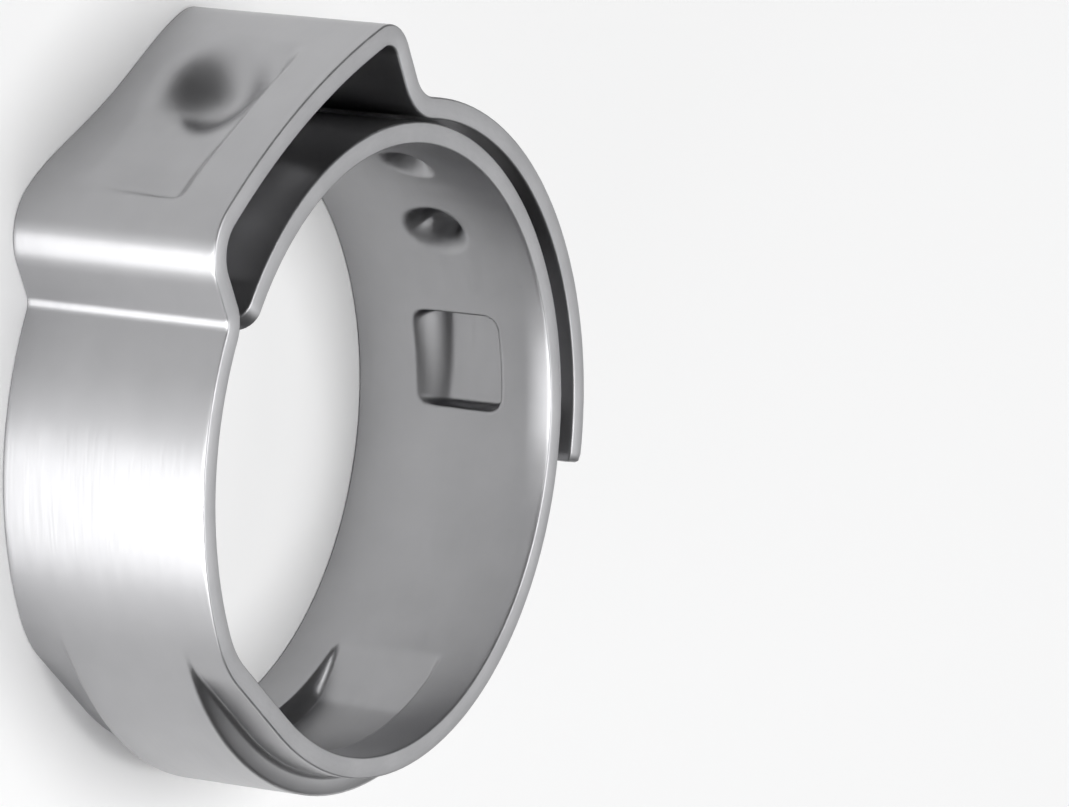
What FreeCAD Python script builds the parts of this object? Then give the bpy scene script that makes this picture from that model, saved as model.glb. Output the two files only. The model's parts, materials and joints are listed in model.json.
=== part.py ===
import FreeCAD, Part
import math
import os
import Sketcher

# A single-ear hose clamp: one strip of stainless steel, bent into a ring that overlaps itself.
# Lengths are millimetres and angles are degrees, counted from +X towards +Y.
# The clamp lies on one edge of its strip: the ring's axis is +Z, the origin is on that axis
# in the plane of the lower edge, and the ear stands out towards +Y.

doc = FreeCAD.newDocument("ear_hose_clamp")

# Driving dimensions
sheet = doc.addObject("Spreadsheet::Sheet", "Sizes")
SIZES = [
    ("inner_diameter", 18.5, "bore of the open clamp"),
    ("band_width", 7.0, "width of the strip"),
    ("sheet_thickness", 0.65, "thickness of the strip"),
    ("layer_gap", 0.05, "clearance between two layers of the strip"),
    ("ear_width", 10.65, "clear width between the legs of the ear"),
    ("ear_height", 1.8, "clear height under the middle of the ear's roof"),
    ("roof_radius", 24.7, "inside radius of the slightly arched roof"),
    ("roof_shift", 0.5, "how far the arch's centre is off the ear's middle"),
    ("crease_radius", 0.5, "tight bend at the foot on the tongue's side"),
    ("foot_radius", 1.25, "easy bend at the foot on the open end's side"),
    ("low_shoulder_radius", 1.1, "inside bend between the roof and the creased leg"),
    ("high_shoulder_radius", 0.65, "inside bend between the roof and the leg at the open end"),
    ("dimple_length", 6.0, "dimple in the roof, along the strip"),
    ("dimple_width", 3.0, "dimple in the roof, across the strip"),
    ("dimple_depth", 0.8, "depth of the dimple"),
    ("dimple_shift", 0.8, "how far the dimple's middle is off the ear's middle"),
    ("tongue_root_angle", 32.5, "from the ear's middle to where the strip narrows"),
    ("tongue_sweep", 61.5, "length of the tongue, as an angle"),
    ("tongue_width", 3.0, "width of the tongue"),
    ("tongue_tip_radius", 1.2, "rounding of the tongue's two corners"),
    ("tongue_root_radius", 0.6, "rounding of the two inner corners beside the tongue"),
    ("shoulder_radius", 0.7, "rounding of the strip's corners beside the tongue"),
    ("step_angle", 113, "from the ear's middle to where the strip starts to step outwards"),
    ("step_bend_radius", 3.0, "inside bend where the step runs out"),
    ("channel_angle", 190, "from the ear's middle to where the channel starts"),
    ("channel_ramp", 13, "length of the ramp at the channel's start, as an angle"),
    ("channel_clearance", 0.25, "play beside the tongue in its channel, each side"),
    ("end_lift", 0.7, "how far the open end springs away from the inner layer"),
    ("end_angle", 128, "from the ear's middle to where the open end stops"),
    ("stop_angle", 59, "from the ear's middle to the small stop, the first bump"),
    ("stop_length", 1.8, "stop, along the strip"),
    ("stop_width", 1.6, "stop, across the strip"),
    ("stop_height", 0.2, "stop, how far it stands out"),
    ("stop_shift", 0.75, "how far the stop is off the middle of the strip"),
    ("hook_angle", 80.7, "from the ear's middle to the hook, the second bump"),
    ("hook_length", 2.2, "hook, along the strip"),
    ("hook_width", 2.0, "hook, across the strip"),
    ("hook_height", 0.9, "hook, how far it stands out"),
    ("catch_angle", 110, "from the ear's middle to the square catch, the third bump"),
    ("catch_length", 3.4, "catch, along the strip"),
    ("catch_width", 3.3, "catch, across the strip"),
    ("catch_height", 0.95, "catch, how far it stands out"),
    ("bump_wall", 0.3, "wall of a pressed bump beside its hollow"),
    ("bump_radius", 0.25, "rounding of a bump's corners"),
    ("window_length", 4.4, "windows of the open end, along the strip"),
    ("window_clearance", 0.35, "play beside a bump in its window, each side"),
    ("window_radius", 0.5, "rounding of the windows' corners"),
]
sheet.set("A1", "name")
sheet.set("B1", "value")
sheet.set("C1", "meaning")
for row, (alias, value, meaning) in enumerate(SIZES, start=2):
    sheet.set(f"A{row}", alias)
    sheet.set(f"B{row}", str(value))
    sheet.setAlias(f"B{row}", alias)
    sheet.set(f"C{row}", meaning)
doc.recompute()

# Radii that several features share, as expressions of the sheet's cells
INSIDE = "(Sizes.inner_diameter / 2)"
INNER_BACK = f"({INSIDE} + Sizes.sheet_thickness)"
OUTSIDE = f"({INNER_BACK} + Sizes.layer_gap)"
OUTER_BACK = f"({OUTSIDE} + Sizes.sheet_thickness)"
# The ear is symmetric about the YZ plane, apart from its roof's arch
LEG_INSIDE = "(Sizes.ear_width / 2)"
LEG_OUTSIDE = f"({LEG_INSIDE} + Sizes.sheet_thickness)"
ROOF_INSIDE = "Sizes.roof_radius"
ROOF_OUTSIDE = "(Sizes.roof_radius + Sizes.sheet_thickness)"
ROOF_RISE = f"sqrt({ROOF_INSIDE} ^ 2 - Sizes.roof_shift ^ 2)"
ROOF_CENTRE = f"({INNER_BACK} + Sizes.ear_height - {ROOF_RISE})"
MIDDLE = "(Sizes.band_width / 2)"
# A cut from inside the ring starts this far below the strip's face, and a bump starts in
# the middle of the strip's thickness
BELOW = f"({INSIDE} - Sizes.sheet_thickness)"
CORE = f"({INSIDE} + Sizes.sheet_thickness / 2)"
# Places round the ring. The tongue and the step lie on the ear's left, the bumps and the
# open end on its right.
EAR = 90
ROOT_ANGLE = f"({EAR} + Sizes.tongue_root_angle)"
TIP_ANGLE = f"({EAR} + Sizes.tongue_root_angle + Sizes.tongue_sweep)"
LOW_ANGLE = f"({EAR} + Sizes.step_angle)"
CHANNEL_LOW = f"({EAR} + Sizes.channel_angle)"
CHANNEL_HIGH = f"({EAR} + Sizes.channel_angle - Sizes.channel_ramp)"
END_ANGLE = f"({EAR} - Sizes.end_angle)"
STOP_ANGLE = f"({EAR} - Sizes.stop_angle)"
HOOK_ANGLE = f"({EAR} - Sizes.hook_angle)"
CATCH_ANGLE = f"({EAR} - Sizes.catch_angle)"


def number(expression):
    """The present value of an expression of the sheet's cells."""
    value = sheet.evalExpression(str(expression))
    return float(getattr(value, "Value", value))


def polar(radius, angle):
    """A point about the ring's axis, as two expressions."""
    return f"{radius} * cos({angle})", f"{radius} * sin({angle})"


def along(angle, length, radius):
    """The angle at a distance along the strip from another angle."""
    return f"({angle} + ({length}) / {radius} * 180 / pi)"


# The open end's circle passes through the foot of its leg. Its centre lies off the ring's
# axis by end_lift, square to the line from the axis to that foot.
FOOT_RISE = f"sqrt({OUTSIDE} ^ 2 - {LEG_INSIDE} ^ 2)"
END_X = f"(Sizes.end_lift * {FOOT_RISE} / {OUTSIDE})"
END_Y = f"(0 - Sizes.end_lift * {LEG_INSIDE} / {OUTSIDE})"
END_INSIDE = f"sqrt({OUTSIDE} ^ 2 + Sizes.end_lift ^ 2)"
END_OUTSIDE = f"({END_INSIDE} + Sizes.sheet_thickness)"


def end_point(radius):
    """A point of the open end's circle, in the direction of end_angle from that centre."""
    return f"{END_X} + {radius} * cos({END_ANGLE})", f"{END_Y} + {radius} * sin({END_ANGLE})"


# The step: a flat that leaves the inner circle square to its radius, and a bend that
# carries it over into the outer circle. STEP_FLAT is the flat's length.
BEND = "Sizes.step_bend_radius"
STEP_FLAT = f"sqrt(({OUTSIDE} - {BEND}) ^ 2 - ({INSIDE} - {BEND}) ^ 2)"
HIGH_ANGLE = f"({LOW_ANGLE} - atan({STEP_FLAT} / ({INSIDE} - {BEND})) / 1 deg)"


def step_point(radius):
    """The end of the step's flat, on the strip's face or back."""
    x = f"{radius} * cos({LOW_ANGLE}) + {STEP_FLAT} * sin({LOW_ANGLE})"
    y = f"{radius} * sin({LOW_ANGLE}) - {STEP_FLAT} * cos({LOW_ANGLE})"
    return x, y


def roof_point(radius, x):
    """A point of the roof's arch above x."""
    return x, f"{ROOF_CENTRE} + sqrt({radius} ^ 2 - ({x} - Sizes.roof_shift) ^ 2)"


def end_foot(x):
    """The corner where the leg at x meets the open end's outer circle."""
    return x, f"{END_Y} + sqrt({END_OUTSIDE} ^ 2 - ({x} - {END_X}) ^ 2)"


def ring_foot(radius, x):
    """The corner where a leg at x meets a circle about the ring's axis."""
    return x, f"sqrt({radius} ^ 2 - ({x}) ^ 2)"


def plane_of(body, role):
    """One of the body's own origin planes."""
    for feature in body.Origin.OriginFeatures:
        if feature.Role == role:
            return feature
    raise RuntimeError("no origin plane " + role)


def sketch_at(body, name, height):
    """An empty sketch parallel to the strip's lower edge, at a height over it."""
    sketch = body.newObject("Sketcher::SketchObject", name)
    sketch.AttachmentSupport = (plane_of(body, "XY_Plane"), [""])
    sketch.MapMode = "FlatFace"
    sketch.setExpression(".AttachmentOffset.Base.z", height)
    return sketch


def hold(sketch, constraint, expression):
    """A constraint whose value follows the sheet."""
    index = sketch.addConstraint(constraint)
    sketch.setExpression(f"Constraints[{index}]", expression)


def draw_outline(sketch, points, links):
    """A closed outline. Each link runs to the next point: None is a straight line, and a pair
    (radius, turn) is an arc, turn +1 where it runs counter-clockwise."""
    places = [(number(x), number(y)) for x, y in points]
    count = len(points)
    starts = []
    ends = []
    for index, link in enumerate(links):
        first = FreeCAD.Vector(*places[index], 0)
        last = FreeCAD.Vector(*places[(index + 1) % count], 0)
        if link is None:
            edge = sketch.addGeometry(Part.LineSegment(first, last))
            starts.append((edge, 1))
            ends.append((edge, 2))
            continue
        radius, turn = number(link[0]), link[1]
        chord = last - first
        middle = (first + last) / 2
        rise = math.sqrt(radius ** 2 - (chord.Length / 2) ** 2)
        across = FreeCAD.Vector(-chord.y, chord.x, 0) / chord.Length
        centre = middle + across * rise * turn
        circle = Part.Circle(centre, FreeCAD.Vector(0, 0, 1), radius)
        from_angle = math.atan2(first.y - centre.y, first.x - centre.x)
        to_angle = math.atan2(last.y - centre.y, last.x - centre.x)
        if turn < 0:
            from_angle, to_angle = to_angle, from_angle
        while to_angle < from_angle:
            to_angle += 2 * math.pi
        edge = sketch.addGeometry(Part.ArcOfCircle(circle, from_angle, to_angle))
        starts.append((edge, 1 if turn > 0 else 2))
        ends.append((edge, 2 if turn > 0 else 1))
    for index in range(count):
        edge, end = starts[index]
        before, before_end = ends[index - 1]
        sketch.addConstraint(Sketcher.Constraint("Coincident", before, before_end, edge, end))
        x, y = points[index]
        hold(sketch, Sketcher.Constraint("DistanceX", -1, 1, edge, end, places[index][0]), x)
        hold(sketch, Sketcher.Constraint("DistanceY", -1, 1, edge, end, places[index][1]), y)
    for (edge, _), link in zip(starts, links):
        if link is not None:
            hold(sketch, Sketcher.Constraint("Radius", edge, number(link[0])), link[0])


def extrude(body, kind, name, sketch, length):
    """A Pad or a Pocket that runs upwards from its sketch."""
    before = body.Shape.Volume if body.Tip else 0
    feature = body.newObject("PartDesign::" + kind, name)
    feature.Profile = sketch
    feature.Reversed = kind == "Pocket"
    feature.setExpression("Length", length)
    doc.recompute()
    change = body.Shape.Volume - before
    if (change <= 0) == (kind == "Pad"):
        raise RuntimeError(f"{name} changed the volume by {change}")
    return feature


def sector(body, kind, name, low, high, angles, heights):
    """A Pad or Pocket of a ring sector: between two radii, two angles and two heights."""
    sketch = sketch_at(body, name + "_outline", heights[0])
    points = [polar(low, angles[0]), polar(high, angles[0]), polar(high, angles[1]), polar(low, angles[1])]
    draw_outline(sketch, points, [None, (high, 1), None, (low, -1)])
    return extrude(body, kind, name, sketch, f"{heights[1]} - {heights[0]}")


def centred(width):
    """Two heights with the strip's middle between them."""
    return f"({MIDDLE} - {width} / 2)", f"({MIDDLE} + {width} / 2)"


def spread(angle, length, radius):
    """Two angles with a bump's or window's middle between them."""
    return along(angle, f"0 - {length} / 2", radius), along(angle, f"{length} / 2", radius)


def edges_where(shape, test):
    """The names of the edges whose two ends both pass a test."""
    names = []
    for index, edge in enumerate(shape.Edges, start=1):
        if len(edge.Vertexes) == 2 and all(test(vertex.Point) for vertex in edge.Vertexes):
            names.append(f"Edge{index}")
    return names


def fillet(body, name, base, names, radius):
    """A rounding of the named edges of the last feature."""
    if not names:
        raise RuntimeError("no edge for " + name)
    feature = body.newObject("PartDesign::Fillet", name)
    feature.Base = (base, names)
    feature.setExpression("Radius", radius)
    doc.recompute()
    return feature


NEAR = 0.001


def at_corner(point):
    """A test for the edges that stand on a corner of the strip's outline."""
    x, y = number(point[0]), number(point[1])
    return lambda place: math.hypot(place.x - x, place.y - y) < NEAR


def at_angle(angle, height):
    """A test for the edges that point at the ring's axis, at one angle and height."""
    direction = math.radians(number(angle))
    level = number(height)

    def test(place):
        off = place.x * math.sin(direction) - place.y * math.cos(direction)
        ahead = place.x * math.cos(direction) + place.y * math.sin(direction)
        return abs(off) < NEAR and ahead > 0 and abs(place.z - level) < NEAR

    return test


band = doc.addObject("PartDesign::Body", "clamp_band")
band.Label = "clamp_band"

# The strip seen along its edge, without the tongue: the inner layer, the step, the creased
# foot, the ear, the other foot and the open end. The first half of the outline is the face
# towards the axis, the second half its back.
foot_one = ring_foot(OUTSIDE, f"(0 - {LEG_INSIDE})")
foot_one_back = ring_foot(OUTER_BACK, f"(0 - {LEG_OUTSIDE})")
shoulder_one = roof_point(ROOF_INSIDE, f"(0 - {LEG_INSIDE})")
shoulder_one_back = roof_point(ROOF_OUTSIDE, f"(0 - {LEG_OUTSIDE})")
shoulder_two = roof_point(ROOF_INSIDE, LEG_INSIDE)
shoulder_two_back = roof_point(ROOF_OUTSIDE, LEG_OUTSIDE)
foot_two = ring_foot(OUTSIDE, LEG_INSIDE)
foot_two_back = end_foot(LEG_OUTSIDE)
# The inner layer's circle, cut into arcs of less than half a turn
INNER_STOPS = (ROOT_ANGLE, "0", f"({CHANNEL_LOW} - 360)", f"({LOW_ANGLE} - 360)")

outline = sketch_at(band, "strip_outline", "0")
draw_outline(
    outline,
    [polar(INSIDE, angle) for angle in INNER_STOPS]
    + [step_point(INSIDE), polar(OUTSIDE, HIGH_ANGLE)]
    + [foot_one, shoulder_one, shoulder_two, foot_two]
    + [end_point(END_INSIDE), end_point(END_OUTSIDE)]
    + [foot_two_back, shoulder_two_back, shoulder_one_back, foot_one_back]
    + [polar(OUTER_BACK, HIGH_ANGLE), step_point(INNER_BACK)]
    + [polar(INNER_BACK, angle) for angle in reversed(INNER_STOPS)],
    [(INSIDE, -1)] * 3
    + [None, ("Sizes.step_bend_radius", -1), (OUTSIDE, -1)]
    + [None, (ROOF_INSIDE, -1), None, (END_INSIDE, -1)]
    + [None, (END_OUTSIDE, 1)]
    + [None, (ROOF_OUTSIDE, 1), None, (OUTER_BACK, 1)]
    + [("Sizes.step_bend_radius + Sizes.sheet_thickness", 1), None]
    + [(INNER_BACK, 1)] * 3
    + [None],
)
extrude(band, "Pad", "strip", outline, "Sizes.band_width")


# The four bends of the ear
def bend(name, face, back, face_radius, back_radius):
    """A bend: its corner edges on the strip's face and back get their own radii."""
    for side, point, radius in (("_face", face, face_radius), ("_back", back, back_radius)):
        names = edges_where(band.Shape, at_corner(point))
        fillet(band, name + side, band.Tip, names, radius)


def thicker(radius):
    """The radius on the other side of the strip."""
    return f"{radius} + Sizes.sheet_thickness"


bend("crease", foot_one, foot_one_back, thicker("Sizes.crease_radius"), "Sizes.crease_radius")
bend("foot", foot_two, foot_two_back, thicker("Sizes.foot_radius"), "Sizes.foot_radius")
bend("low_shoulder", shoulder_one, shoulder_one_back,
     "Sizes.low_shoulder_radius", thicker("Sizes.low_shoulder_radius"))
bend("high_shoulder", shoulder_two, shoulder_two_back,
     "Sizes.high_shoulder_radius", thicker("Sizes.high_shoulder_radius"))

# The channel that the tongue slides in: the strip's middle stands one layer further out
# than its sides, from a short ramp round to the step
CHANNEL_HOLLOW = "(Sizes.tongue_width + 2 * Sizes.channel_clearance)"
CHANNEL_BACK = f"({CHANNEL_HOLLOW} + 2 * Sizes.sheet_thickness)"


def channel(kind, name, base, low, high, width):
    """The channel's back or hollow: low is the strip's own radius, high the raised one."""
    heights = centred(width)
    sketch = sketch_at(band, name + "_outline", heights[0])
    points = [
        polar(base, HIGH_ANGLE),
        polar(high, HIGH_ANGLE),
        polar(high, CHANNEL_HIGH),
        polar(low, CHANNEL_LOW),
        polar(base, CHANNEL_LOW),
    ]
    draw_outline(sketch, points, [None, (high, 1), None, None, (base, -1)])
    extrude(band, kind, name, sketch, width)


channel("Pad", "channel_back", CORE, INNER_BACK, OUTER_BACK, CHANNEL_BACK)
channel("Pocket", "channel_hollow", BELOW, INSIDE, OUTSIDE, CHANNEL_HOLLOW)

# The tongue at the inner end, with rounded corners and shoulders
tongue_heights = centred("Sizes.tongue_width")
sector(band, "Pad", "tongue", INSIDE, INNER_BACK, (ROOT_ANGLE, TIP_ANGLE), tongue_heights)


def round_off(name, corners, radius):
    """A rounding of the corners of the sheet at some (angle, height) pairs."""
    tests = [at_angle(angle, height) for angle, height in corners]
    names = []
    for test in tests:
        names += edges_where(band.Shape, test)
    fillet(band, name, band.Tip, names, radius)


round_off("tongue_tip", [(TIP_ANGLE, height) for height in tongue_heights], "Sizes.tongue_tip_radius")
round_off("tongue_root", [(ROOT_ANGLE, height) for height in tongue_heights], "Sizes.tongue_root_radius")
round_off("shoulders", [(ROOT_ANGLE, "0"), (ROOT_ANGLE, "Sizes.band_width")], "Sizes.shoulder_radius")


# The windows of the open end and the bumps of the inner layer that stand in or under them
def window(name, angle, bump_width):
    """A rounded window through the open end only, over a bump."""
    low = f"({INNER_BACK} + Sizes.layer_gap)"
    high = f"({END_OUTSIDE} + Sizes.end_lift)"
    angles = spread(angle, "Sizes.window_length", END_INSIDE)
    heights = centred(f"({bump_width} + 2 * Sizes.window_clearance)")
    sector(band, "Pocket", name, low, high, angles, heights)
    corners = [(side, height) for side in angles for height in heights]
    round_off(name + "_corners", corners, "Sizes.window_radius")


def bump(name, angle, shift="0"):
    """A bump pressed outwards from the inner layer, hollow on the inside."""
    length, width, height = (f"Sizes.{name}_{size}" for size in ("length", "width", "height"))
    angles = spread(angle, length, INNER_BACK)
    heights = [f"({level} + {shift})" for level in centred(width)]
    sector(band, "Pad", name, CORE, f"({INNER_BACK} + {height})", angles, heights)
    corners = [(side, level) for side in angles for level in heights]
    round_off(name + "_corners", corners, "Sizes.bump_radius")
    angles = spread(angle, f"({length} - 2 * Sizes.bump_wall)", INSIDE)
    heights = [f"({level} + {shift})" for level in centred(f"({width} - 2 * Sizes.bump_wall)")]
    sector(band, "Pocket", name + "_hollow", BELOW, f"({INSIDE} + {height})", angles, heights)


window("hook_window", HOOK_ANGLE, "Sizes.hook_width")
window("catch_window", CATCH_ANGLE, "Sizes.catch_width")
bump("stop", STOP_ANGLE, "Sizes.stop_shift")
bump("hook", HOOK_ANGLE)
bump("catch", CATCH_ANGLE)


# The dimple pressed into the roof of the ear
def dimple(kind, name, low, high, wall):
    """The dimple's underside or its hollow, between two radii of the roof's arch."""
    heights = centred(f"(Sizes.dimple_width + 2 * {wall})")
    left = f"(0 - Sizes.dimple_shift - Sizes.dimple_length / 2 - {wall})"
    right = f"(0 - Sizes.dimple_shift + Sizes.dimple_length / 2 + {wall})"
    sketch = sketch_at(band, name + "_outline", heights[0])
    points = [roof_point(low, left), roof_point(low, right), roof_point(high, right), roof_point(high, left)]
    draw_outline(sketch, points, [(low, -1), None, (high, 1), None])
    extrude(band, kind, name, sketch, f"{heights[1]} - {heights[0]}")


ROOF_CORE = f"({ROOF_INSIDE} + Sizes.sheet_thickness / 2)"
ABOVE_ROOF = f"({ROOF_OUTSIDE} + Sizes.sheet_thickness)"
dimple("Pad", "dimple_underside", f"({ROOF_INSIDE} - Sizes.dimple_depth)", ROOF_CORE, "Sizes.bump_wall")
dimple("Pocket", "dimple", f"({ROOF_OUTSIDE} - Sizes.dimple_depth)", ABOVE_ROOF, "0")

# Every feature has to be sound before the part is written
for thing in doc.Objects:
    if "Invalid" in thing.State or "Error" in thing.State:
        raise RuntimeError(f"{thing.Name} failed: {thing.State}")
if band.Shape.isNull() or not band.Shape.isValid() or len(band.Shape.Solids) != 1:
    raise RuntimeError("the strip isn't one sound solid")
print("volume", round(band.Shape.Volume, 2), "box", band.Shape.BoundBox)
os.makedirs("parts", exist_ok=True)
band.Shape.exportStep(f"parts/{band.Label}.step")
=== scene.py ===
# %% [markdown]
# # A single-ear hose clamp
# The real clamp is one strip of stainless steel, punched flat and then bent. It starts with a
# narrow tongue, runs once round the hose, steps outwards to make room for that tongue, rises
# into the ear that the pincers squeeze, and ends over three pressed bumps.
#
# Everything here follows that strip. A point of it is known by three numbers: how far along
# the strip it lies, how far across, and how deep in its thickness. The script draws the flat
# strip as a grid, and one function bends the grid into the clamp.

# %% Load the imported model
import json
import math

import bpy
import numpy as np
from mathutils import Matrix, Vector


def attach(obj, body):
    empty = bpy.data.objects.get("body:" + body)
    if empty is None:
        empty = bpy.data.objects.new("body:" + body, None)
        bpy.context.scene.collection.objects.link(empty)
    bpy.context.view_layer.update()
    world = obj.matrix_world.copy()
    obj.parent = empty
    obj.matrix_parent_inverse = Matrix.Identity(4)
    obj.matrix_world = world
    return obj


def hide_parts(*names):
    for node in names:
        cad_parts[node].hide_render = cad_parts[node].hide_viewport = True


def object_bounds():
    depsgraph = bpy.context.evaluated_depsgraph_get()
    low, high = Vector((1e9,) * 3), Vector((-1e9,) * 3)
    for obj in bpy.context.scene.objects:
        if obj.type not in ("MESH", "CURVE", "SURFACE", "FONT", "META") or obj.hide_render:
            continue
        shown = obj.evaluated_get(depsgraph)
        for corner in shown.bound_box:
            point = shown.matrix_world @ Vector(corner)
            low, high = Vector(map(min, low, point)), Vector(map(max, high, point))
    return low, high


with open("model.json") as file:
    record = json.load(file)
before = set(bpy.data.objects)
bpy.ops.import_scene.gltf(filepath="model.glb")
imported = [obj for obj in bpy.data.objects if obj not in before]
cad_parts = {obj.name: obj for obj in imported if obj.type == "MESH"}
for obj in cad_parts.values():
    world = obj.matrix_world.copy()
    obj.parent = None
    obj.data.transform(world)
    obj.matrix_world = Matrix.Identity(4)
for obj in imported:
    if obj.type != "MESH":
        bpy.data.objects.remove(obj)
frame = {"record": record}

mm = 0.001
cad_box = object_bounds()
record = frame["record"]
print("CAD box in mm", [[round(c / mm, 2) for c in corner] for corner in cad_box])

# %% [markdown]
# ## Sizes
# The bore and the strip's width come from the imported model. The rest are the sizes of the
# bends and the pressed features, in millimetres. Angles are degrees about the bore's axis,
# and the ear stands at 90.

# %% Sizes of the strip and its bends
bore = next(mount for mount in record["mounts"] if mount["name"] == "hose_bore")
INSIDE = bore["dims"]["r_mm"] * mm
WIDTH = cad_box[1].z - cad_box[0].z
MIDDLE = cad_box[0].z + WIDTH / 2
THICK = 0.65 * mm
LAYER_GAP = 0.05 * mm
OUTSIDE = INSIDE + THICK + LAYER_GAP
HALF = THICK / 2

EAR_HALF = 10.65 / 2 * mm
EAR_HEIGHT = 1.8 * mm
ROOF_RADIUS = 24.7 * mm
ROOF_SHIFT = 0.5 * mm
CREASE_RADIUS = 0.5 * mm
FOOT_RADIUS = 1.25 * mm
LOW_SHOULDER_RADIUS = 1.1 * mm
HIGH_SHOULDER_RADIUS = 0.65 * mm

EAR = 90
ROOT = EAR + 32.5
TIP = ROOT + 61.5
STEP_LOW = EAR + 113
STEP_BEND_RADIUS = 3 * mm
CHANNEL_LOW = EAR + 190 - 360
CHANNEL_HIGH = CHANNEL_LOW - 13
END = EAR - 128
END_LIFT = 0.7 * mm
print("bore", round(2 * INSIDE / mm, 2), "mm, strip", round(WIDTH / mm, 2), "by", THICK / mm, "mm")

# %% [markdown]
# ## The path of the strip
# Seen along its edge, the strip is a chain of arcs and straight runs, each one tangent to the
# next. A drawn curve with handles could stand for it, but then no radius would be exact. The
# path follows the middle of the thickness, so a bend whose inside radius is r has the path
# radius r plus half the thickness. Where a bend joins a leg to a circle, its centre lies at a
# known distance from both, and that fixes it.


# %% Pieces of the path
def arc(centre, radius, start, end):
    """One arc of the path: its length, and a function of the distance along it. The point is
    the centre plus the radius times (cos, sin) of an angle that changes evenly. The back of
    the strip lies to the left of the way, so out of a clockwise arc and into the other kind."""
    turn = math.radians(end - start)

    def at(distance):
        angle = math.radians(start) + distance / radius * np.sign(turn)
        ray = np.stack([np.cos(angle), np.sin(angle)], axis=-1)
        return centre + radius * ray, -np.sign(turn) * ray

    return radius * abs(turn), at


def straight(start, end):
    """One straight run of the path, as arc() gives it: start plus distance times direction."""
    length = float(np.linalg.norm(end - start))
    direction = (end - start) / length
    back = np.array([-direction[1], direction[0]])

    def at(distance):
        return start + distance[:, None] * direction, np.broadcast_to(back, (len(distance), 2))

    return length, at


def polar(radius, angle):
    """A point at a distance from the bore's axis."""
    return radius * np.array([math.cos(math.radians(angle)), math.sin(math.radians(angle))])


def angle_of(vector):
    """The direction of a vector, in degrees."""
    return math.degrees(math.atan2(vector[1], vector[0]))


def above(x, centre, distance):
    """The point over x that lies at a distance from a centre, as a bend's own centre does."""
    return np.array([x, centre[1] + math.sqrt(distance ** 2 - (x - centre[0]) ** 2)])


# %% Circles of the two layers and the step between them
axis = np.zeros(2)
inner_path = INSIDE + HALF
outer_path = OUTSIDE + HALF

step_flat = math.sqrt((OUTSIDE - STEP_BEND_RADIUS) ** 2 - (INSIDE - STEP_BEND_RADIUS) ** 2)
step_start = polar(inner_path, STEP_LOW)
step_end = step_start + polar(step_flat, STEP_LOW - 90)
step_centre = step_end - polar(STEP_BEND_RADIUS + HALF, STEP_LOW)
STEP_HIGH = angle_of(step_centre) % 360
print("the step runs from", STEP_LOW, "to", round(STEP_HIGH, 1), "degrees")

# %% Circles of the ear
leg = EAR_HALF + HALF
roof_centre_y = INSIDE + THICK + EAR_HEIGHT - math.sqrt(ROOF_RADIUS ** 2 - ROOF_SHIFT ** 2)
roof_centre = np.array([ROOF_SHIFT, roof_centre_y])
roof_path = ROOF_RADIUS + HALF

# The open end springs away about the foot of its leg, so its centre is off the axis, square
# to the line from the axis to that foot
foot_height = math.sqrt(OUTSIDE ** 2 - EAR_HALF ** 2)
end_centre = END_LIFT / OUTSIDE * np.array([foot_height, -EAR_HALF])
end_path = math.hypot(OUTSIDE, END_LIFT) + HALF

crease = CREASE_RADIUS + HALF
crease_centre = above(-leg - crease, axis, outer_path + crease)
low_shoulder = LOW_SHOULDER_RADIUS + HALF
low_centre = above(-leg + low_shoulder, roof_centre, roof_path - low_shoulder)
high_shoulder = HIGH_SHOULDER_RADIUS + HALF
high_centre = above(leg - high_shoulder, roof_centre, roof_path - high_shoulder)
foot = FOOT_RADIUS + HALF
foot_centre = above(leg + foot, end_centre, end_path + foot)
print("the ear stands", round((roof_centre_y + ROOF_RADIUS - OUTSIDE) / mm, 2), "mm over the ring")

# %% The whole path, from the tongue's tip to the open end
crease_angle = angle_of(crease_centre)
low_angle = angle_of(low_centre - roof_centre)
high_angle = angle_of(high_centre - roof_centre)
foot_angle = angle_of(foot_centre - end_centre)
path = {
    "inner layer": arc(axis, inner_path, TIP, STEP_LOW - 360),
    "step": straight(step_start, step_end),
    "step's bend": arc(step_centre, STEP_BEND_RADIUS + HALF, STEP_LOW, STEP_HIGH),
    "overlap": arc(axis, outer_path, STEP_HIGH, crease_angle),
    "crease": arc(crease_centre, crease, crease_angle - 180, 0),
    "first leg": straight(crease_centre + [crease, 0], low_centre - [low_shoulder, 0]),
    "low shoulder": arc(low_centre, low_shoulder, 180, low_angle),
    "roof": arc(roof_centre, roof_path, low_angle, high_angle),
    "high shoulder": arc(high_centre, high_shoulder, high_angle, 0),
    "second leg": straight(high_centre + [high_shoulder, 0], foot_centre - [foot, 0]),
    "foot": arc(foot_centre, foot, -180, foot_angle - 180),
    "open end": arc(end_centre, end_path, foot_angle, END),
}
starts = np.concatenate([[0], np.cumsum([length for length, _ in path.values()])])
LENGTH = starts[-1]

start_of = dict(zip(path, starts))
STEP = start_of["step"]
OVERLAP = start_of["overlap"]
CREASE = start_of["crease"]
LEG_ONE = start_of["first leg"]
ROOF = start_of["roof"]
ROOF_END = start_of["high shoulder"]
LEG_TWO = start_of["second leg"]
OPEN_END = start_of["open end"]


def on_path(along):
    """Points of the path, and the unit vectors that point out of the strip's back there."""
    point = np.zeros((len(along), 2))
    back = np.zeros((len(along), 2))
    for (length, at), start in zip(path.values(), starts):
        here = (along >= start) & (along <= start + length)
        point[here], back[here] = at(along[here] - start)
    return point, back


ends = [at(np.array([0, length]))[0] for length, at in path.values()]
jumps = [np.linalg.norm(one[1] - two[0]) for one, two in zip(ends, ends[1:])]
print("strip", round(LENGTH / mm, 1), "mm long, widest break in its path", max(jumps) / mm, "mm")

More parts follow.
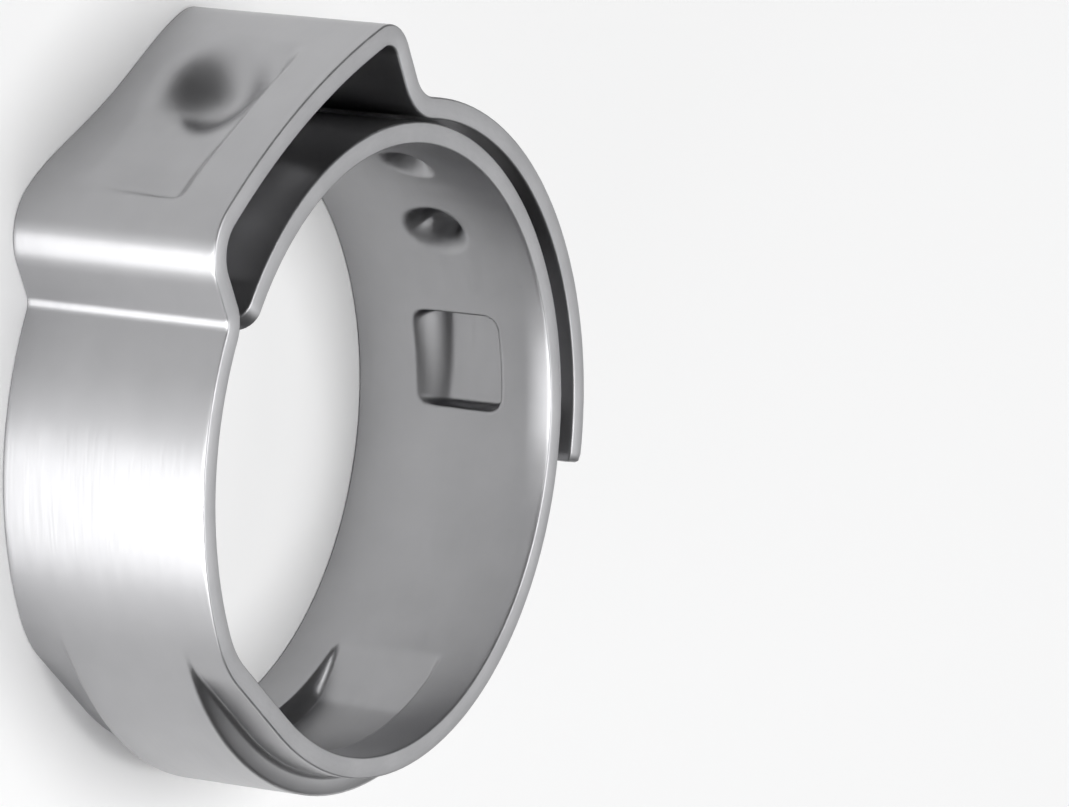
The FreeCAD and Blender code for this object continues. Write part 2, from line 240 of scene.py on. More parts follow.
# %% [markdown]
# ## Places along the strip
# The bumps are known by their angle on the inner layer, and the windows by their angle on the
# open end, whose circle has another centre.


# %% Places of the bumps and windows
def on_ring(angle):
    """How far along the strip an angle of the inner layer lies."""
    return math.radians(TIP - angle) * inner_path


def on_end(angle):
    """How far along the strip a ray from the axis crosses the open end."""
    ray = polar(1, angle)
    reach = ray @ end_centre
    distance = reach + math.sqrt(end_path ** 2 - end_centre @ end_centre + reach ** 2)
    return OPEN_END + math.radians(foot_angle - angle_of(distance * ray - end_centre)) * end_path


TONGUE_HALF = 1.5 * mm
TONGUE_END = on_ring(ROOT)
STOP_ANGLE = EAR - 59
HOOK_ANGLE = EAR - 80.7
CATCH_ANGLE = EAR - 110
WINDOW_LENGTH = 4.4 * mm
WINDOW_PLAY = 0.35 * mm
HOOK_WIDTH = 2 * mm
CATCH_WIDTH = 3.3 * mm
windows = [
    (on_end(HOOK_ANGLE), HOOK_WIDTH / 2 + WINDOW_PLAY),
    (on_end(CATCH_ANGLE), CATCH_WIDTH / 2 + WINDOW_PLAY),
]
print("windows at", [round(float(place) / mm, 1) for place, _ in windows], "mm along the strip")

# %% [markdown]
# ## The flat strip as a grid
# The real blank is punched from a plain strip. Cutting it out of a bent solid with booleans
# would leave long thin triangles that spoil the shine, so here it is a grid. Its lines run
# along and across the strip, close together where something is pressed or bent and far apart
# where the strip is plain. Cells beside the tongue and inside the windows are left out. The
# corners of this blank are square at first, and then every grid point near one is moved so
# that the two sides of the corner follow a round.

# %% Steps between the grid lines, and how far the fine ones reach
PLAIN_STEP = 0.42 * mm
SLOPE_STEP = 0.3 * mm
ROUND_STEP = 0.14 * mm
TIGHT_STEP = 0.1 * mm
FINE_STEP = 0.075 * mm
CREASE_STEP = 0.06 * mm
ACROSS_STEP = 0.17 * mm
ACROSS_FINE = 0.085 * mm

TIP_REACH = 1.4 * mm
ROOT_REACH = 0.8 * mm
STOP_REACH = 1.3 * mm
HOOK_REACH = 1.6 * mm
CATCH_REACH = 2.3 * mm
WINDOW_REACH = WINDOW_LENGTH / 2 + 0.6 * mm
FINE_HALF = 2.7 * mm


# %% Grid lines
def grid_lines(breaks, zones):
    """Every break, and between two breaks equal steps no longer than any zone there allows."""
    breaks = np.unique(np.round(breaks, 9))
    lines = []
    for low, high in zip(breaks[:-1], breaks[1:]):
        step = min(size for start, end, size in zones if start <= (low + high) / 2 <= end)
        lines.append(np.linspace(low, high, math.ceil((high - low) / step) + 1)[:-1])
    return np.append(np.concatenate(lines), breaks[-1])


def around(place, reach, step):
    """A zone that reaches equally far to both sides of a place."""
    return place - reach, place + reach, step


along_zones = [
    (0, LENGTH, PLAIN_STEP),
    (0, TIP_REACH, TIGHT_STEP),
    (TONGUE_END - ROOT_REACH, TONGUE_END + TIP_REACH, TIGHT_STEP),
    around(on_ring(STOP_ANGLE), STOP_REACH, FINE_STEP),
    around(on_ring(HOOK_ANGLE), HOOK_REACH, FINE_STEP),
    around(on_ring(CATCH_ANGLE), CATCH_REACH, FINE_STEP),
    (on_ring(CHANNEL_LOW + 1), on_ring(CHANNEL_HIGH - 3), ROUND_STEP),
    (STEP, OVERLAP, SLOPE_STEP),
    (CREASE, LEG_ONE, CREASE_STEP),
    (LEG_ONE, ROOF_END, ROUND_STEP),
    (ROOF_END, LEG_TWO, TIGHT_STEP),
    (LEG_TWO, OPEN_END, ROUND_STEP),
] + [around(place, WINDOW_REACH, ROUND_STEP) for place, _ in windows]
across_zones = [
    (-WIDTH / 2, WIDTH / 2, ACROSS_STEP),
    (-FINE_HALF, FINE_HALF, ACROSS_FINE),
]
window_ends = [place + side * WINDOW_LENGTH / 2 for place, _ in windows for side in (-1, 1)]
window_sides = [side * half for _, half in windows for side in (-1, 1)]
zone_ends = [end for start, stop, _ in along_zones for end in (start, stop)]
strip_sides = [side * half for half in (WIDTH / 2, TONGUE_HALF, FINE_HALF) for side in (-1, 1)]
along_breaks = np.concatenate([starts, [TONGUE_END], window_ends, zone_ends])
along_lines = grid_lines(along_breaks, along_zones)
across_lines = grid_lines(np.array(strip_sides + window_sides), across_zones)
print(len(along_lines), "lines across the strip and", len(across_lines), "lines along it")

# %% Cells of the blank
cell_along = (along_lines[:-1] + along_lines[1:])[:, None] / 2
cell_across = np.abs(across_lines[:-1] + across_lines[1:])[None, :] / 2
kept = (cell_along > TONGUE_END) | (cell_across < TONGUE_HALF)
for place, half in windows:
    kept &= ~((np.abs(cell_along - place) < WINDOW_LENGTH / 2) & (cell_across < half))
print(int(kept.sum()), "cells on each face of the strip")

# %% Round corners of the blank
TIP_CORNER = 1.2 * mm
ROOT_CORNER = 0.6 * mm
SHOULDER_CORNER = 0.7 * mm
WINDOW_CORNER = 0.5 * mm
END_CORNER = 0.2 * mm
FADE_RADII = 1.5


def rounded(along, across, corner, towards, radius):
    """Moves points near a square corner on to a round one. Inside the square that the corner
    and the round's centre span, a square is mapped to a disc: u = x sqrt(1 - y y / 2), and
    the same for v. Outside it, the nearest point's move fades away with distance."""
    x = 1 - (along - corner[0]) * towards[0] / radius
    y = 1 - (across - corner[1]) * towards[1] / radius
    off = np.hypot(np.maximum(x - 1, 0), np.maximum(y - 1, 0))
    fade = np.clip(1 - off / FADE_RADII, 0, 1)
    x = np.clip(x, 0, 1)
    y = np.clip(y, 0, 1)
    move_along = x - x * np.sqrt(1 - y * y / 2)
    move_across = y - y * np.sqrt(1 - x * x / 2)
    return (along + towards[0] * radius * fade * move_along,
            across + towards[1] * radius * fade * move_across)


corners = []
for side in (-1, 1):
    corners.append(((0, side * TONGUE_HALF), (1, -side), TIP_CORNER))
    corners.append(((TONGUE_END, side * TONGUE_HALF), (-1, side), ROOT_CORNER))
    corners.append(((TONGUE_END, side * WIDTH / 2), (1, -side), SHOULDER_CORNER))
    corners.append(((LENGTH, side * WIDTH / 2), (-1, -side), END_CORNER))
    for place, half in windows:
        for way in (-1, 1):
            corner = (place + way * WINDOW_LENGTH / 2, side * half)
            corners.append((corner, (-way, -side), WINDOW_CORNER))
blank_along, blank_across = np.meshgrid(along_lines, across_lines, indexing="ij")
blank_along = blank_along.ravel()
blank_across = blank_across.ravel()
for corner, towards, radius in corners:
    blank_along, blank_across = rounded(blank_along, blank_across, corner, towards, radius)
print(len(corners), "corners rounded")

# %% [markdown]
# ## What is pressed into the strip
# A press moves the sheet along its own normal. Sculpting could do that too, but it would not
# keep the two faces of so thin a sheet a fixed distance apart. So each feature is a height
# over the flat strip: 0 outside, its depth inside, and a wall between them that is either an
# S or straight with rounded ends. The hollow face and the raised face get walls of their own,
# because the sheet's thickness lies between them.
#
# In all of these, along is the distance from the tongue's tip, across the distance from the
# strip's middle, and hollow is true on the face towards the hose.


# %% Walls
def soft(x):
    """0 below 0, 1 above 1, and x x (3 - 2 x) between them."""
    x = np.clip(x, 0, 1)
    return x * x * (3 - 2 * x)


def ramp(x, share):
    """0 below 0, 1 above 1 and straight between them, with a parabola at each end over a share
    of the way."""
    x = np.clip(x, 0, 1)
    near = np.minimum(x, 1 - x)
    rise = np.where(near < share, near * near / (2 * share), near - share / 2) / (1 - share)
    return np.where(x < 0.5, rise, 1 - rise)


def between(x, low, high, low_wall, high_wall):
    """1 between two places and 0 outside them, with a soft wall inwards from each."""
    return soft((x - low) / low_wall) * soft((high - x) / high_wall)


# %% Bowls and pans
def bowl(along, across, centre, radii, share=0.5):
    """1 at a bowl's bottom and 0 outside it: a ramp down from 1 by the distance in radii. The
    four radii are those before and after the bottom along the strip, and on the far and the
    near side of it."""
    early, late, far, near = radii
    x = along - centre[0]
    y = across - centre[1]
    out = np.hypot(x / np.where(x < 0, early, late), y / np.where(y < 0, far, near))
    return ramp(1 - out, share)


def pan(x, y, half, corner, wall):
    """1 inside a square with round corners and 0 outside it. The distance inwards from its
    edge is the corner's radius less the distance from the smaller square it is drawn about."""
    out_x = np.abs(x) - (half - corner)
    out_y = np.abs(y) - (half - corner)
    beyond = np.hypot(np.maximum(out_x, 0), np.maximum(out_y, 0))
    within = np.minimum(np.maximum(out_x, out_y), 0)
    return soft((corner - beyond - within) / wall)


# %% [markdown]
# ## Three bumps that the open end holds on to
# A small stop, a hook that catches in the first window when the clamp is closed, and a square
# catch for the second. From inside they are hollows. A bowl with four different radii gives
# the first two their steep side, which a plain sphere or cone could not, and the catch is a
# pan with straight sides.

# %% The small stop
STOP_PLACE = (on_ring(STOP_ANGLE), 1.05 * mm)
STOP_DEPTH = 0.65 * mm
STOP_HEIGHT = STOP_DEPTH / 2
STOP_HOLLOW = np.array([1.15, 0.85, 1.2, 0.6]) * mm
STOP_BACK = np.array([1.3, 1, 1.3, 0.8]) * mm


def stop_lift(along, across, hollow):
    """The small stop: a bowl with a steep near side, and a low round bump on the back."""
    if hollow:
        return STOP_DEPTH * bowl(along, across, STOP_PLACE, STOP_HOLLOW)
    return STOP_HEIGHT * bowl(along, across, STOP_PLACE, STOP_BACK, share=0.4)


# %% The hook
HOOK_PLACE = (on_ring(HOOK_ANGLE), 0.5 * mm)
HOOK_DEPTH = 1.1 * mm
HOOK_HEIGHT = 0.85 * mm
HOOK_HOLLOW = np.array([1.1, 1.05, 1.45, 0.95]) * mm
PAD_ALONG = np.array([-1.35, 1.25, 0.6, 0.45]) * mm
PAD_ACROSS = np.array([-1.2, 1.25, 0.55, 0.55]) * mm


def hook_lift(along, across, hollow):
    """The hook: a bowl with an easy far side, and on its back a soft pad that stays clear of
    the window's sides. The pad's four lengths are its two ends and their two walls."""
    if hollow:
        return HOOK_DEPTH * bowl(along, across, HOOK_PLACE, HOOK_HOLLOW)
    pad = between(along - HOOK_PLACE[0], *PAD_ALONG) * between(across, *PAD_ACROSS)
    return HOOK_HEIGHT * pad


# %% The square catch
CATCH_PLACE = (on_ring(CATCH_ANGLE), 0.14 * mm)
CATCH_DEEP = 0.95 * mm
CATCH_SHALLOW = 0.5 * mm
CATCH_HOLLOW_HALF = 1.62 * mm
CATCH_BACK_HALF = 1.92 * mm
CATCH_CORNER = 0.55 * mm
CATCH_WALL = 0.22 * mm
CATCH_FAR_SLOPE = 1.1 * mm
CATCH_NEAR_SLOPE = 0.32 * mm


def catch_lift(along, across, hollow):
    """The square catch: a pan with short steep walls, whose far side rises gently and whose
    floor is deeper at the end that the window bears on."""
    half = CATCH_HOLLOW_HALF if hollow else CATCH_BACK_HALF
    x = along - CATCH_PLACE[0]
    y = across - CATCH_PLACE[1]
    square = pan(x, y, half, CATCH_CORNER, CATCH_WALL)
    slopes = between(y, -half, half, CATCH_FAR_SLOPE, CATCH_NEAR_SLOPE)
    way = np.clip((x + half) / (2 * half), 0, 1)
    return (CATCH_DEEP + (CATCH_SHALLOW - CATCH_DEEP) * way) * square * slopes


print("bumps up to", max(STOP_DEPTH, HOOK_DEPTH, CATCH_DEEP) / mm, "mm deep")

# %% [markdown]
# ## The channel for the tongue
# Where the tongue slides, the middle of the strip is pressed out to the outer layer's circle,
# while its sides stay on the inner one. The floor of the channel rises over a ramp, and it
# ends where the whole strip has stepped out. The rise is solved from the two circles, so the
# channel meets the step without a seam.

# %% The channel
RAMP_START = on_ring(CHANNEL_LOW)
RAMP_END = on_ring(CHANNEL_HIGH)
CHANNEL_HALF = TONGUE_HALF + 0.25 * mm
CHANNEL_WALL = 0.17 * mm
CHANNEL_SIDE = 0.37 * mm
RAMP_SHARE = 0.12
WALL_SHARE = 0.2


def channel_lift(along, across, hollow):
    """How far the channel stands out: up to the outer layer's circle, from the ramp to the
    step. With p on the path and n its back, the distance d solves |p + d n| = outer radius."""
    point, back = on_path(along)
    facing = (point * back).sum(axis=1)
    room = outer_path ** 2 - (point ** 2).sum(axis=1) + facing ** 2
    full = np.sqrt(np.maximum(room, 0)) - facing
    opened = ramp((along - RAMP_START) / (RAMP_END - RAMP_START), RAMP_SHARE) * (along < OVERLAP)
    half = CHANNEL_HALF if hollow else CHANNEL_HALF + CHANNEL_SIDE
    profile = ramp((half + CHANNEL_WALL - np.abs(across)) / CHANNEL_WALL, WALL_SHARE)
    return np.maximum(full, 0) * opened * profile


print("channel ramp", round((RAMP_END - RAMP_START) / mm, 2), "mm long")

# %% [markdown]
# ## The roof of the ear
# The dimple makes the roof fold evenly when the pincers squeeze the ear. It is a shallow
# trough with one steep long wall, and in it an oblong bowl that is deepest towards the open
# end. The far edge of the roof is flatter than the near one.

# %% The dimple
EAR_MIDDLE = (ROOF + ROOF_END) / 2
TROUGH_DEPTH = 0.5 * mm
TROUGH_NEAR = 1.85 * mm
TROUGH_NEAR_WALL = 0.6 * mm
TROUGH_FAR = -2 * mm
TROUGH_FAR_SLOPE = 3.2 * mm
TROUGH_START = -4.55 * mm
TROUGH_START_WALL = 0.5 * mm
TROUGH_STOP = 3.4 * mm
TROUGH_STOP_WALL = 1.6 * mm
FIRST_SHARE = 0.75
DEEPENS_FROM = -3.4 * mm
DEEPENS_OVER = 3 * mm
INNER_SPREAD = 0.12 * mm
BOWL_DEPTH = 0.92 * mm
BOWL_PLACE = (EAR_MIDDLE + 1.4 * mm, -0.2 * mm)
BOWL_RADII = np.array([3.4, 2.2, 2.4, 1.7]) * mm


def dimple_lift(along, across, hollow):
    """The dimple of the ear's roof, pressed inwards: a trough, which is the product of its
    near wall, far slope, two ends and bottom, and the bowl. The trough is a little wider
    on the face towards the hose."""
    x = along - EAR_MIDDLE
    spread = INNER_SPREAD if hollow else 0
    near_wall = ramp((TROUGH_NEAR + spread - across) / (TROUGH_NEAR_WALL + spread), WALL_SHARE)
    far_slope = soft((across - TROUGH_FAR) / TROUGH_FAR_SLOPE)
    two_ends = between(x, TROUGH_START - spread, TROUGH_STOP + spread,
                       TROUGH_START_WALL, TROUGH_STOP_WALL)
    bottom = FIRST_SHARE + (1 - FIRST_SHARE) * soft((x - DEEPENS_FROM) / DEEPENS_OVER)
    trough = near_wall * far_slope * two_ends * bottom
    return -TROUGH_DEPTH * trough - BOWL_DEPTH * bowl(along, across, BOWL_PLACE, BOWL_RADII)


# %% The two edges of the roof
FAR_DROP = 0.5 * mm
ROOF_HALF = (ROOF_END - ROOF) / 2


def roof_lift(along, across, hollow):
    """The ear's roof is arched along its near edge and nearly straight along the far one: it
    drops by (1 - x x) squared, times the share of the way from the near edge to the far one."""
    x = np.clip((along - EAR_MIDDLE) / ROOF_HALF, -1, 1)
    return -FAR_DROP * (1 - x * x) ** 2 * (0.5 - across / WIDTH)


print("roof", round(2 * ROOF_HALF / mm, 1), "mm long, bowl", BOWL_DEPTH / mm, "mm below the trough")


# %% [markdown]
# ## Bending the strip
# One function takes any point of the flat strip, with its pressed height, to its place on the
# clamp. Both faces and the punched edges use it, so they can't come apart.

# %% From the flat strip to the clamp
def lift(along, across, depth):
    """The press's whole move along the normal, mixed between the two faces: depth is 0 on the
    face towards the hose and 1 on the back."""
    total = 0
    for hollow, share in ((True, 1 - depth), (False, depth)):
        for feature in (channel_lift, stop_lift, hook_lift, catch_lift, dimple_lift, roof_lift):
            total = total + share * feature(along, across, hollow)
    return total


def bent(along, across, depth):
    """A point of the flat strip in its place on the clamp: the path's point, plus its normal
    times the height over the middle of the thickness, and the distance across as z."""
    point, back = on_path(np.clip(along, 0, LENGTH))
    height = (depth - 0.5) * THICK + lift(along, across, depth)
    flat = point + height[:, None] * back
    return np.column_stack([flat, MIDDLE + across])


# %% [markdown]
# ## From cells to a closed mesh
# The back and the face towards the hose are the same cells at two depths. A Solidify and a
# Bevel modifier could thicken one face instead, but they would round the pressed walls too.
# Along every edge of the blank, rows of points go round the sheet's thickness in a quarter
# circle, a straight run and another quarter circle, so only the punched edge has small rounds.

# %% Corners of the cells
lines_across = len(across_lines)
cell_i, cell_j = np.nonzero(kept)
first = cell_i * lines_across + cell_j
cells = np.column_stack([first, first + 1, first + lines_across + 1, first + lines_across])

padded = np.pad(kept, 1)
sides = []
for side, (di, dj) in enumerate(((-1, 0), (0, 1), (1, 0), (0, -1))):
    open_side = ~padded[1 + cell_i + di, 1 + cell_j + dj]
    sides.append(cells[open_side][:, [side, (side + 1) % 4]])
edge_from, edge_to = np.concatenate(sides).T
used = np.unique(cells)
rim = np.unique(edge_from)
print(len(used), "points on each face and", len(rim), "round the edges")

# %% The way out of the strip at each edge point
out_along = np.zeros(len(blank_along))
out_across = np.zeros(len(blank_along))
for edge_end in (edge_from, edge_to):
    np.add.at(out_along, edge_end, blank_across[edge_from] - blank_across[edge_to])
    np.add.at(out_across, edge_end, blank_along[edge_to] - blank_along[edge_from])
out_length = np.hypot(out_along, out_across)
out_length[out_length == 0] = 1
out_along /= out_length
out_across /= out_length
print(int((out_along ** 2 + out_across ** 2 > 0.5).sum()), "points know their way out")

# %% Rows round the edges
EDGE_RADIUS = 0.06 * mm
EDGE_STEPS = 3
quarter = np.linspace(0, math.pi / 2, EDGE_STEPS + 1)
row_out = np.concatenate([np.sin(quarter), np.sin(quarter[::-1])]) - 1
row_depth = np.concatenate([np.cos(quarter) - 1, 1 - np.cos(quarter[::-1])]) * EDGE_RADIUS / THICK
row_depth += np.repeat([1, 0], EDGE_STEPS + 1)
ROWS = len(row_out)
row_along = blank_along[rim] + EDGE_RADIUS * row_out[:, None] * out_along[rim]
row_across = blank_across[rim] + EDGE_RADIUS * row_out[:, None] * out_across[rim]
rows = bent(row_along.ravel(), row_across.ravel(), np.repeat(row_depth, len(rim)))
print(ROWS, "rows round the edges")

# %% Points and faces of the closed mesh
inset_along = blank_along - EDGE_RADIUS * out_along
inset_across = blank_across - EDGE_RADIUS * out_across
back_points = bent(inset_along[used], inset_across[used], np.ones(len(used)))
face_points = bent(inset_along[used], inset_across[used], np.zeros(len(used)))
inner_rows = rows[len(rim):(ROWS - 1) * len(rim)]
points = np.concatenate([back_points, face_points, inner_rows])

place_of = np.full(len(blank_along), -1)
place_of[used] = np.arange(len(used))
rim_of = np.full(len(blank_along), -1)
rim_of[rim] = np.arange(len(rim))
back_faces = place_of[cells]
hose_faces = place_of[cells][:, ::-1] + len(used)


def row_points(row, ids):
    """The points of one row round the edges: the first and last rows are the faces' own."""
    if row == 0:
        return place_of[ids]
    if row == ROWS - 1:
        return place_of[ids] + len(used)
    return 2 * len(used) + (row - 1) * len(rim) + rim_of[ids]


edge_faces = np.concatenate([
    np.column_stack([row_points(row, edge_to), row_points(row, edge_from),
                     row_points(row + 1, edge_from), row_points(row + 1, edge_to)])
    for row in range(ROWS - 1)
])
faces = np.concatenate([back_faces, hose_faces, edge_faces])
print(len(points), "points,", len(faces), "faces")

# %% [markdown]
# ## A map that follows the strip
# The grain of rolled steel runs along the strip, round every bend, so the material needs to
# know that direction, and Object coordinates don't. The UV map is the flat strip itself, in
# millimetres, and each punched edge is folded out beside it.

# %% Map of the flat strip
flat_map = np.column_stack([inset_along, inset_across]) / mm
row_steps = np.hypot(np.diff(row_out) * EDGE_RADIUS, np.diff(row_depth) * THICK)
row_run = np.concatenate([[0], np.cumsum(row_steps)])
out_map = np.column_stack([out_along, out_across])


def edge_map(row, ids):
    """The folded-out place of a point in one row round the edges."""
    return flat_map[ids] + row_run[row] / mm * out_map[ids]


uv = np.concatenate(
    [flat_map[cells].reshape(-1, 2), flat_map[cells[:, ::-1]].reshape(-1, 2)]
    + [np.stack([edge_map(row, edge_to), edge_map(row, edge_from),
                 edge_map(row + 1, edge_from), edge_map(row + 1, edge_to)], axis=1).reshape(-1, 2)
       for row in range(ROWS - 1)]
)
print("the map is", np.round(np.ptp(uv, axis=0), 1), "mm large")

# %% The strip as an object
mesh = bpy.data.meshes.new("clamp_strip")
mesh.vertices.add(len(points))
mesh.vertices.foreach_set("co", points.ravel())
mesh.loops.add(faces.size)
mesh.loops.foreach_set("vertex_index", faces.ravel())
mesh.polygons.add(len(faces))
mesh.polygons.foreach_set("loop_start", np.arange(0, faces.size, 4))
mesh.update(calc_edges=True)
mesh.polygons.foreach_set("use_smooth", np.ones(len(faces), bool))
on_edge = np.arange(len(faces)) >= 2 * len(cells)
mesh.polygons.foreach_set("material_index", on_edge.astype(int))
mesh.uv_layers.new(name="strip").data.foreach_set("uv", uv.ravel())
print("mesh sound:", not mesh.validate())
strip = bpy.data.objects.new("clamp_strip", mesh)
bpy.context.scene.collection.objects.link(strip)
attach(strip, "root")
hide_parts("clamp_band")

# %% [markdown]
# ## Stainless steel
# The strip is cold rolled: bright, a little satin, with a fine grain along its length that
# stretches highlights across it. An image of scratches would repeat along so long a strip, so
# the grain is worked out by nodes. They are a group, because the punched edges use the grain
# too, with other values. The group stretches one noise along the strip, whose height changes
# the roughness and the bump, and lays slow clouds over it, which change the shade.


# %% The grain of rolled steel
def node(tree, kind, at, **values):
    """A node of a tree at a place, with some of its inputs or properties set."""
    made = tree.nodes.new(kind)
    made.location = at
    for name, value in values.items():
        if name in made.inputs:
            made.inputs[name].default_value = value
        else:
            setattr(made, name, value)
    return made


def rolled_grain_group():
    """Inputs: the strip's map, how many lines the grain has per millimetre, and how many times
    longer than wide they are. Outputs: the grain's height and the clouds, both about 0.5."""
    group = bpy.data.node_groups.new("rolled grain", "ShaderNodeTree")
    face = group.interface
    face.new_socket("Map", in_out="INPUT", socket_type="NodeSocketVector")
    density = face.new_socket("Lines per mm", in_out="INPUT", socket_type="NodeSocketFloat")
    density.default_value = 14
    stretch = face.new_socket("Stretch", in_out="INPUT", socket_type="NodeSocketFloat")
    stretch.default_value = 30
    face.new_socket("Height", in_out="OUTPUT", socket_type="NodeSocketFloat")
    face.new_socket("Cloud", in_out="OUTPUT", socket_type="NodeSocketFloat")
    source = node(group, "NodeGroupInput", (-900, 0))
    result = node(group, "NodeGroupOutput", (500, 0))
    links = group.links
    along_scale = node(group, "ShaderNodeMath", (-700, 150), operation="DIVIDE")
    links.new(source.outputs["Lines per mm"], along_scale.inputs[0])
    links.new(source.outputs["Stretch"], along_scale.inputs[1])
    scale = node(group, "ShaderNodeCombineXYZ", (-520, 150))
    links.new(along_scale.outputs[0], scale.inputs["X"])
    links.new(source.outputs["Lines per mm"], scale.inputs["Y"])
    stretched = node(group, "ShaderNodeVectorMath", (-340, 100), operation="MULTIPLY")
    links.new(source.outputs["Map"], stretched.inputs[0])
    links.new(scale.outputs[0], stretched.inputs[1])
    grain = node(group, "ShaderNodeTexNoise", (-140, 100), Scale=1.0, Detail=3.0, Roughness=0.6)
    links.new(stretched.outputs[0], grain.inputs["Vector"])
    cloud = node(group, "ShaderNodeTexNoise", (-140, -180), Scale=0.55, Detail=2.0, Roughness=0.5)
    links.new(source.outputs["Map"], cloud.inputs["Vector"])
    links.new(grain.outputs["Fac"], result.inputs["Height"])
    links.new(cloud.outputs["Fac"], result.inputs["Cloud"])
    return group


rolled_grain = rolled_grain_group()
print("node group", rolled_grain.name, "with", len(rolled_grain.nodes), "nodes")

# %% [markdown]
# ## Two finishes of the same steel
# The rolled faces draw reflections out into bands, which the shader's anisotropy does. The
# punched edges are torn rather than rolled, so they are rougher and darker, and shine more
# evenly from all sides. The grain's direction comes from the tangent of the strip's map.

# %% The faces and the punched edges
NOISE_LOW = 0.3
NOISE_HIGH = 0.7
GRAIN_HEIGHT = 0.01 * mm


def mapped(tree, value, low, high, at):
    """A Map Range node that turns the usual range of a noise into a range of values."""
    made = node(tree, "ShaderNodeMapRange", at)
    made.inputs["From Min"].default_value = NOISE_LOW
    made.inputs["From Max"].default_value = NOISE_HIGH
    made.inputs["To Min"].default_value = low
    made.inputs["To Max"].default_value = high
    tree.links.new(value, made.inputs["Value"])
    return made.outputs["Result"]


def steel(name, dark, light, roughness, anisotropy, lines, stretch, bump):
    """Stainless steel with the rolled grain. The grain changes the roughness and the bump,
    and slow clouds change the shade between a dark and a light steel grey."""
    material = bpy.data.materials.new(name)
    material.use_nodes = True
    tree = material.node_tree
    shader = tree.nodes["Principled BSDF"]
    shader.inputs["Metallic"].default_value = 1.0
    shader.inputs["Anisotropic"].default_value = anisotropy
    shader.inputs["Anisotropic Rotation"].default_value = 0.25
    strip_map = node(tree, "ShaderNodeUVMap", (-900, 0), uv_map="strip")
    grain = node(tree, "ShaderNodeGroup", (-700, 0), node_tree=rolled_grain)
    grain.inputs["Lines per mm"].default_value = lines
    grain.inputs["Stretch"].default_value = stretch
    tree.links.new(strip_map.outputs["UV"], grain.inputs["Map"])
    shade = node(tree, "ShaderNodeMix", (-300, 200), data_type="RGBA")
    shade.inputs["A"].default_value = (*dark, 1)
    shade.inputs["B"].default_value = (*light, 1)
    clouds = mapped(tree, grain.outputs["Cloud"], 0, 1, (-480, 200))
    tree.links.new(clouds, shade.inputs["Factor"])
    tree.links.new(shade.outputs["Result"], shader.inputs["Base Color"])
    rough = mapped(tree, grain.outputs["Height"], roughness[0], roughness[1], (-300, 0))
    tree.links.new(rough, shader.inputs["Roughness"])
    relief = node(tree, "ShaderNodeBump", (-300, -250), Strength=bump, Distance=GRAIN_HEIGHT)
    tree.links.new(grain.outputs["Height"], relief.inputs["Height"])
    tree.links.new(relief.outputs["Normal"], shader.inputs["Normal"])
    tangent = node(tree, "ShaderNodeTangent", (-300, -450), direction_type="UV_MAP", uv_map="strip")
    tree.links.new(tangent.outputs["Tangent"], shader.inputs["Tangent"])
    return material


mesh.materials.append(steel(
    "rolled stainless face", dark=(0.45, 0.45, 0.46), light=(0.475, 0.475, 0.485),
    roughness=(0.30, 0.35), anisotropy=0.82, lines=14, stretch=30, bump=0.1,
))
mesh.materials.append(steel(
    "punched stainless edge", dark=(0.40, 0.40, 0.41), light=(0.45, 0.45, 0.46),
    roughness=(0.40, 0.5), anisotropy=0.3, lines=9, stretch=3, bump=0.3,
))
print("materials:", [material.name for material in mesh.materials])

# %% [markdown]
# ## Camera
# The clamp lies on the edge of its strip, and the camera looks down on it and is rolled, so
# that the bore's axis points to the right of the picture. The position and the three
# directions were found by matching the ring's two edges.

# %% Camera
camera_place = Vector((-145.595, 119.304, 118.604)) * mm
camera_right = Vector((0.45636335, -0.21580423, 0.8632271))
camera_up = Vector((0.57637896, 0.81078924, -0.10202007))
camera_back = camera_right.cross(camera_up)
LENS_PIXELS = 7300
FRAME_PIXELS = 1069
camera = bpy.data.objects.new("camera", bpy.data.cameras.new("camera"))
camera.data.sensor_width = 36
camera.data.lens = LENS_PIXELS / FRAME_PIXELS * camera.data.sensor_width
camera.data.clip_start = 0.01
turn = Matrix((camera_right, camera_up, camera_back)).transposed()
camera.matrix_world = Matrix.Translation(camera_place) @ turn.to_4x4()
bpy.context.scene.collection.objects.link(camera)
bpy.context.scene.camera = camera
print("camera lens", round(camera.data.lens, 1), "mm")

# %% [markdown]
# ## Floor and light
# Polished metal shows what is round it, so its look is mostly the placing of the lamps. Each
# lamp is a soft panel at a compass direction about the clamp, and the strip's grain draws
# its reflection out into a band across the strip. The floor is matt paper, a little under
# white, so that it doesn't clip.

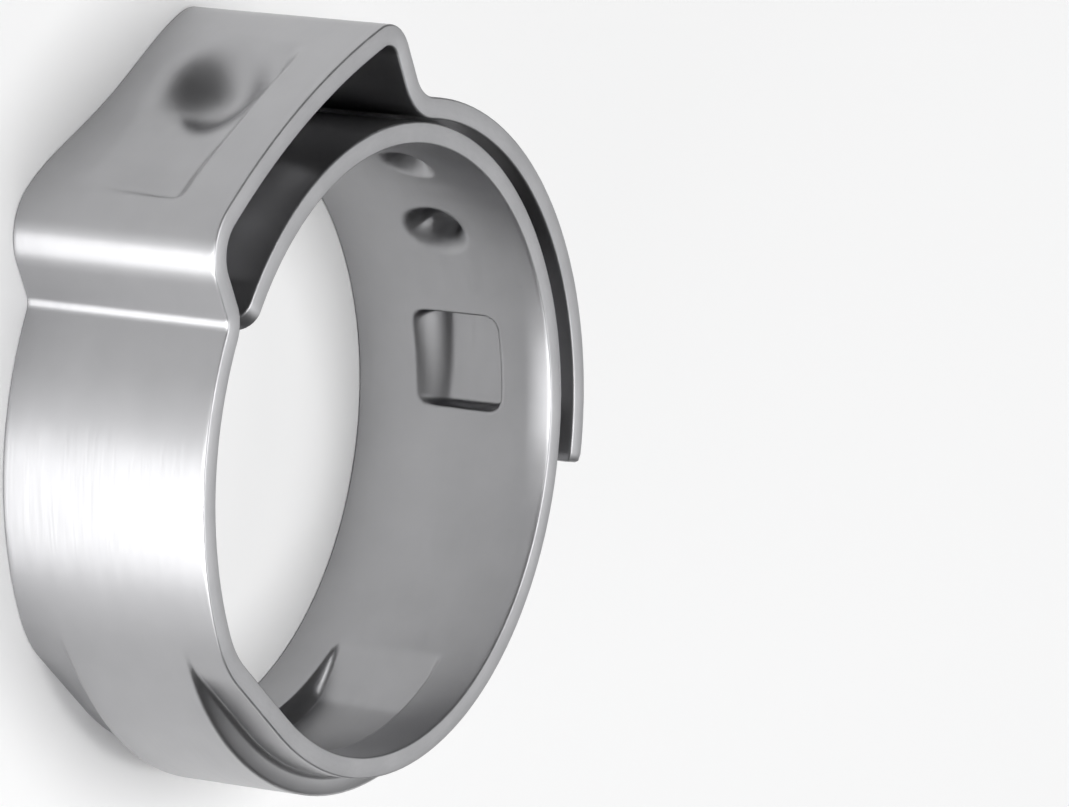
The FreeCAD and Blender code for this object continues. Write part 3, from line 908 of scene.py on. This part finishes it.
# %% Floor
FLOOR_HALF = 1.5
PAPER = (0.97, 0.97, 0.97, 1)
floor_corners = [(-1, -1), (1, -1), (1, 1), (-1, 1)]
floor_mesh = bpy.data.meshes.new("floor")
floor_mesh.from_pydata([(FLOOR_HALF * x, FLOOR_HALF * y, 0) for x, y in floor_corners], [],
                       [(0, 1, 2, 3)])
floor = bpy.data.objects.new("floor", floor_mesh)
bpy.context.scene.collection.objects.link(floor)
paper = bpy.data.materials.new("white paper")
paper.use_nodes = True
paper_shader = paper.node_tree.nodes["Principled BSDF"]
paper_shader.inputs["Base Color"].default_value = PAPER
paper_shader.inputs["Roughness"].default_value = 1.0
paper_shader.inputs["Specular IOR Level"].default_value = 0.0
floor_mesh.materials.append(paper)
print("floor of", 2 * FLOOR_HALF, "m")


# %% Lamps
def panel(name, azimuth, elevation, brightness, width, height, distance=0.35):
    """A soft panel that faces the clamp from a compass direction. Its power makes its face
    shine with the given brightness: power = brightness times pi times area."""
    data = bpy.data.lights.new(name, "AREA")
    data.shape = "RECTANGLE"
    data.size = width
    data.size_y = height
    data.energy = brightness * math.pi * width * height
    lamp = bpy.data.objects.new(name, data)
    level = math.cos(math.radians(elevation))
    away = Vector((*(level * polar(1, azimuth)), math.sin(math.radians(elevation))))
    lamp.rotation_mode = "QUATERNION"
    lamp.rotation_quaternion = away.to_track_quat("Z", "Y")
    lamp.location = away * distance
    bpy.context.scene.collection.objects.link(lamp)


# Two low, long panels on one side of the ear give the bright band down the ring, and the
# other two fill in the roof, the inside and the rims.
panel("low key", azimuth=168, elevation=2.3, brightness=80, width=0.24, height=0.02)
panel("wide key", azimuth=168, elevation=2.3, brightness=18, width=0.5, height=0.02, distance=0.36)
panel("back", azimuth=321, elevation=35, brightness=1.0, width=0.3, height=0.2)
panel("top", azimuth=0, elevation=88, brightness=4.1, width=0.3, height=0.3)
print("lamps:", [lamp.name for lamp in bpy.data.lights])

# %% The dim room
ROOM = (0.07, 0.07, 0.072, 1)
world = bpy.data.worlds.new("studio")
world.use_nodes = True
world.node_tree.nodes["Background"].inputs["Color"].default_value = ROOM
bpy.context.scene.world = world
bpy.context.scene.view_settings.view_transform = "Standard"
print("world:", world.name)
